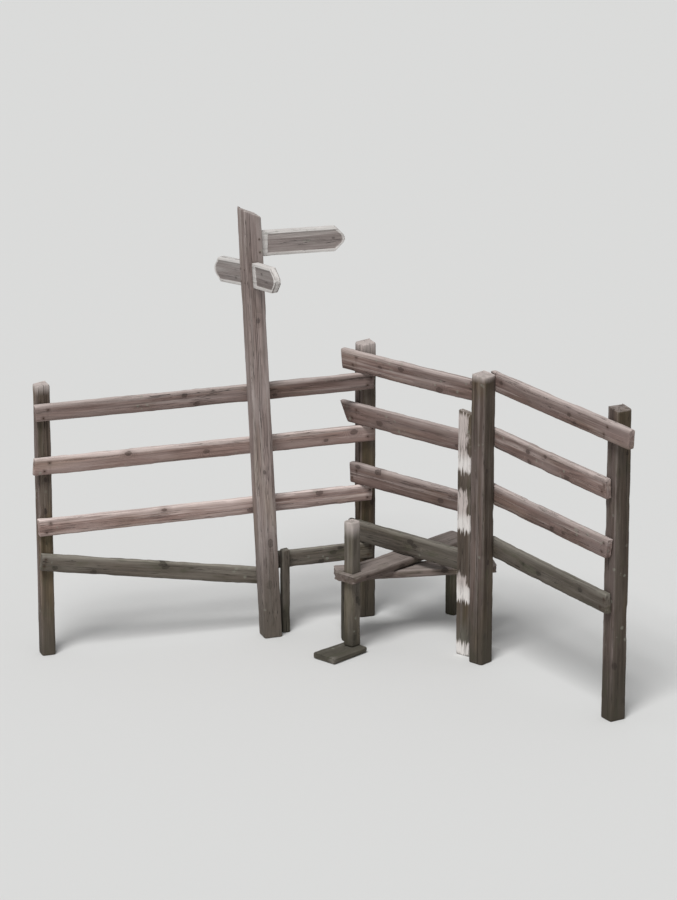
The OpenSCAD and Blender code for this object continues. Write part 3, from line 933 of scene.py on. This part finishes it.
def lichen(g, moved):
    """Round ragged spots of lichen, in patches."""
    spots = g.add("ShaderNodeTexVoronoi", feature="F1")
    g.put(spots.inputs["Vector"], moved)
    spots.inputs["Scale"].default_value = LICHEN_SCALE
    ragged = g.plus(spots.outputs["Distance"], g.times(g.noise(moved, 160.0, 3.0), 0.30))
    grows = g.range(g.noise(moved, 4.0, 2.0), 0.56, 0.64)
    return g.times(g.range(ragged, 0.40, 0.30), grows)


def hairlines(g, moved):
    """Fine drying cracks along the grain, in patches."""
    gap = g.math("ABSOLUTE", g.minus(g.pattern(moved, "hairline"), 0.5))
    dry = g.range(g.pattern(moved, "dry"), 0.46, 0.58)
    return g.times(g.range(gap, 0.018, 0.004), dry)


def chalky(g, w, colour, across):
    """Whitish patches down the cleat, each widest and whitest at its foot and frayed beside it."""
    ragged = g.plus(w.height, g.swing(g.pattern(w.moved, "chalk_streak"), 0.14))
    fray = g.plus(across, g.swing(g.pattern(w.moved, "chalk_fray"), 2.2))
    body, feet = 0.0, 0.0
    for low, high in PATCHES:
        rise = g.range(ragged, low - 0.012, low + 0.012)
        band = g.times(rise, g.range(ragged, high + 0.012, high - 0.012))
        foot = g.range(w.height, low + 0.11, low + 0.04)
        limit = g.plus(0.45, foot)
        band = g.times(band, g.range(g.minus(limit, fray), -0.2, 0.2))
        body = g.math("ADD", body, band, clamp=True)
        feet = g.math("ADD", feet, g.times(band, foot), clamp=True)
    worn = g.range(g.pattern(w.moved, "chalk_worn"), 0.28, 0.50, 0.25, 0.90)
    colour = g.mix(g.times(body, worn), colour, CHALK)
    return g.mix(g.times(feet, g.times(worn, 0.9)), colour, WHITE)


def dry_surface(g, w, hair):
    """Dry, rough wood whose fibres, rings, knots and cracks stand in low relief."""
    g.put(g.shader.inputs["Roughness"], g.plus(0.80, g.times(w.fibre, 0.16)))
    g.shader.inputs["Specular IOR Level"].default_value = 0.25
    relief = g.minus(0.0, hair)
    for pattern, rise in zip((w.fibre, w.late, w.streak, w.heart, w.bark), RELIEF):
        relief = g.plus(relief, g.times(pattern, rise))
    bump = g.add("ShaderNodeBump")
    bump.inputs["Strength"].default_value = BUMP_STRENGTH
    bump.inputs["Distance"].default_value = BUMP_DISTANCE
    g.put(bump.inputs["Height"], relief)
    g.put(g.shader.inputs["Normal"], bump.outputs[0])


def rusty_steel():
    """Dark pitted steel of old nail heads."""
    g = Graph("nail_steel")
    place = g.add("ShaderNodeTexCoord").outputs["Object"]
    pits = g.noise(place, 900.0, 4.0)
    colour = g.mix(g.range(pits, 0.38, 0.65), (0.030, 0.022, 0.018), (0.095, 0.042, 0.020))
    g.put(g.shader.inputs["Base Color"], colour)
    g.put(g.shader.inputs["Roughness"], g.range(pits, 0.3, 0.7, 0.55, 0.9))
    g.shader.inputs["Metallic"].default_value = 0.35
    return g.material


def end_grain():
    """Darker wood of the pegs' ends, with fine pores."""
    g = Graph("peg_wood")
    place = g.add("ShaderNodeTexCoord").outputs["Object"]
    pores = g.noise(place, 700.0, 3.0, 0.6)
    colour = g.mix(g.range(pores, 0.40, 0.62), (0.085, 0.062, 0.050), (0.190, 0.150, 0.128))
    g.put(g.shader.inputs["Base Color"], colour)
    g.shader.inputs["Roughness"].default_value = 0.9
    return g.material


# Nails: radius and height of the profile and how far it is bedded, in metres, and its unevenness
NAIL_PROFILE = ((0.0, 0.0014), (0.0012, 0.0013), (0.0024, 0.0010), (0.0033, 0.0005),
                (0.0036, -0.0002), (0.0036, -0.0012), (0.0020, -0.0030))
NAIL_TURNS = 14
NAIL_BEDDED = 0.0016
NAIL_WOBBLE = 0.06
NAIL_TILT = 0.12
# Pegs through the tenons: which boards, the tenon's length, the pegs' spacing and their profile
FINGERS = ("finger_long", "finger_left", "finger_front")
TENON = 0.040
PEG_APART = 0.066
PEG_PROFILE = ((0.0, 0.0030), (0.0022, 0.0029), (0.0042, 0.0024), (0.0052, 0.0014),
               (0.0055, 0.0), (0.0054, -0.0050))
PEG_TURNS = 18
PEG_BEDDED = 0.0012
PEG_WOBBLE = 0.05
PEG_SEED = 88


def lathe(profile, turns, wobble, rng):
    """A turned form about Z: rings of (radius, height) from its middle out, closed underneath."""
    verts, faces = [(0.0, 0.0, profile[0][1])], []
    for r, h in profile[1:]:
        for t in range(turns):
            a = 2 * pi * t / turns
            q = r * (1 + wobble * rng.uniform(-1, 1))
            lift = wobble * r * rng.uniform(-0.5, 0.5)
            verts.append((q * cos(a), q * sin(a), h + lift))
    for t in range(turns):
        faces.append((0, 1 + t, 1 + (t + 1) % turns))
    for ring in range(len(profile) - 2):
        a = 1 + ring * turns
        for t in range(turns):
            u = (t + 1) % turns
            faces.append((a + t, a + turns + t, a + turns + u, a + u))
    faces.append(tuple(range(len(verts) - turns, len(verts)))[::-1])
    return np.array(verts), faces


def turned_piece(name, solid, forms, material):
    """Several turned forms as one piece of the part, each given in the solid's own frame."""
    verts, faces = [], []
    for points, form_faces in forms:
        base = sum(map(len, verts))
        verts.append(points)
        faces += [tuple(base + i for i in f) for f in form_faces]
    me = bpy.data.meshes.new(name)
    me.from_pydata(solid.placed(np.concatenate(verts)).tolist(), [], faces)
    me.validate()
    me.shade_smooth()
    me.materials.append(material)
    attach(linked(name, me), "root")


def nail_heads(node, solid, nails, steel):
    """The nails of one rail as one piece, each head bedded in the rail's face."""
    rng = np.random.default_rng(sum(map(ord, node)) + 5)
    forms = []
    for x, z, way in nails:
        v, faces = lathe(NAIL_PROFILE, NAIL_TURNS, NAIL_WOBBLE, rng)
        tilt = rng.uniform(-NAIL_TILT, NAIL_TILT, 2)
        y = way * (solid.half[1] - NAIL_BEDDED)
        sag = KINDS["rail"]["bow"] * sin(pi * min(max(x / solid.length, 0), 1))
        out = way * (v[:, 2] + v[:, 0] * tilt[0] + v[:, 1] * tilt[1])
        points = np.stack([x + way * v[:, 0], y + out, z - sag + v[:, 1]], 1)
        forms.append((points, [f[::-1] for f in faces]))
    turned_piece(node + "_nails", solid, forms, steel)


def peg_places(post):
    """Where the pegs through the fingers' tenons show, in the post's frame: place and direction."""
    found = []
    for node in FINGERS:
        finger = Solid(node)
        ends = [finger.origin + finger.turn[:, 0] * d for d in (0.0, finger.length)]
        near, far = sorted(ends, key=lambda e: np.linalg.norm(post.local(e)[1:]))
        inner = post.local(near + (far - near) / finger.length * TENON / 2)
        thick = finger.turn[:, 1 + int(np.argmin(finger.half[1:]))] @ post.turn
        axis = 1 + int(np.argmax(np.abs(thick[1:])))
        for way in (-1, 1):
            for k in (-1, 1):
                place = np.array(inner)
                place[0] += k * PEG_APART / 2
                place[axis] = way * (post.half[axis] - PEG_BEDDED)
                out = np.zeros(3)
                out[axis] = way
                found.append((place, out))
    return found


def pegs(post):
    """Round oak pegs, each a turned form bedded in the fingerpost."""
    rng = np.random.default_rng(PEG_SEED)
    along = np.array((1.0, 0.0, 0.0))
    forms = []
    for place, out in peg_places(post):
        v, faces = lathe(PEG_PROFILE, PEG_TURNS, PEG_WOBBLE, rng)
        side = np.cross(out, along)
        forms.append((place + v[:, :1] * along + v[:, 1:2] * side + v[:, 2:] * out, faces))
    turned_piece("finger_pegs", post, forms, end_grain())


def build_timbers():
    """Every timber as a worn piece with its own wood, and the nails of the rails."""
    steel = rusty_steel()
    for node, (kind, tone, tone_and_light_gain, seed) in TIMBERS.items():
        solid, ob, nails = weathered_mesh(node, kind, seed)
        if node == "upper_step":
            leg_hole(ob, solid)
        grain_frame(ob, solid)
        ob.data.materials.append(weathered_wood(node, tone, tone_and_light_gain, seed, solid))
        if node == "fingerpost":
            pegs(solid)
        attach(ob, "root")
        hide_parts(node)
        if nails:
            nail_heads(node, solid, nails, steel)


def plain_stage():
    """Pale floor that reaches past the picture, and an even pale world."""
    me = bpy.data.meshes.new("floor")
    corners = [(x * FLOOR_HALF, y * FLOOR_HALF, 0) for x, y in ((-1, -1), (1, -1), (1, 1), (-1, 1))]
    me.from_pydata(corners, [], [(0, 1, 2, 3)])
    floor = linked("floor", me)
    g = Graph("floor_paint")
    g.shader.inputs["Base Color"].default_value = FLOOR + (1,)
    g.shader.inputs["Roughness"].default_value = 0.95
    g.shader.inputs["Specular IOR Level"].default_value = 0.1
    me.materials.append(g.material)
    floor.location.z = -FLOOR_DROP
    world = bpy.data.worlds.new("studio")
    bpy.context.scene.world = world
    world.use_nodes = True
    background = world.node_tree.nodes["Background"]
    background.inputs["Color"].default_value = SKY + (1,)
    background.inputs["Strength"].default_value = SKY_STRENGTH


def direction(azimuth, elevation):
    """From the part towards a viewer at these angles, in degrees."""
    a, e = radians(azimuth), radians(elevation)
    return Vector((sin(a) * cos(e), -cos(a) * cos(e), sin(e)))


def aimed(name, data, back):
    """A camera or lamp that looks the other way from a direction."""
    ob = linked(name, data)
    ob.rotation_mode = "QUATERNION"
    ob.rotation_quaternion = back.to_track_quat("Z", "Y")
    return ob


def camera():
    """The photograph's direction and perspective, drawn in to the stile."""
    back = direction(VIEW_AZIMUTH, VIEW_ELEVATION)
    data = bpy.data.cameras.new("camera")
    data.lens = LENS
    data.sensor_width = SENSOR
    data.clip_end = FAR_CLIP
    ob = aimed("camera", data, back)
    ob.location = AIM + back * VIEW_DISTANCE
    bpy.context.scene.camera = ob


def lights():
    """A broad high lamp on the camera's left, which lights the whole floor evenly."""
    data = bpy.data.lights.new("key", "SUN")
    data.energy = KEY_STRENGTH
    data.angle = radians(KEY_ANGLE)
    aimed("key", data, direction(VIEW_AZIMUTH - KEY_LEFT, KEY_HEIGHT))


build_timbers()
plain_stage()
lights()
camera()
bpy.context.scene.view_settings.view_transform = "Standard"
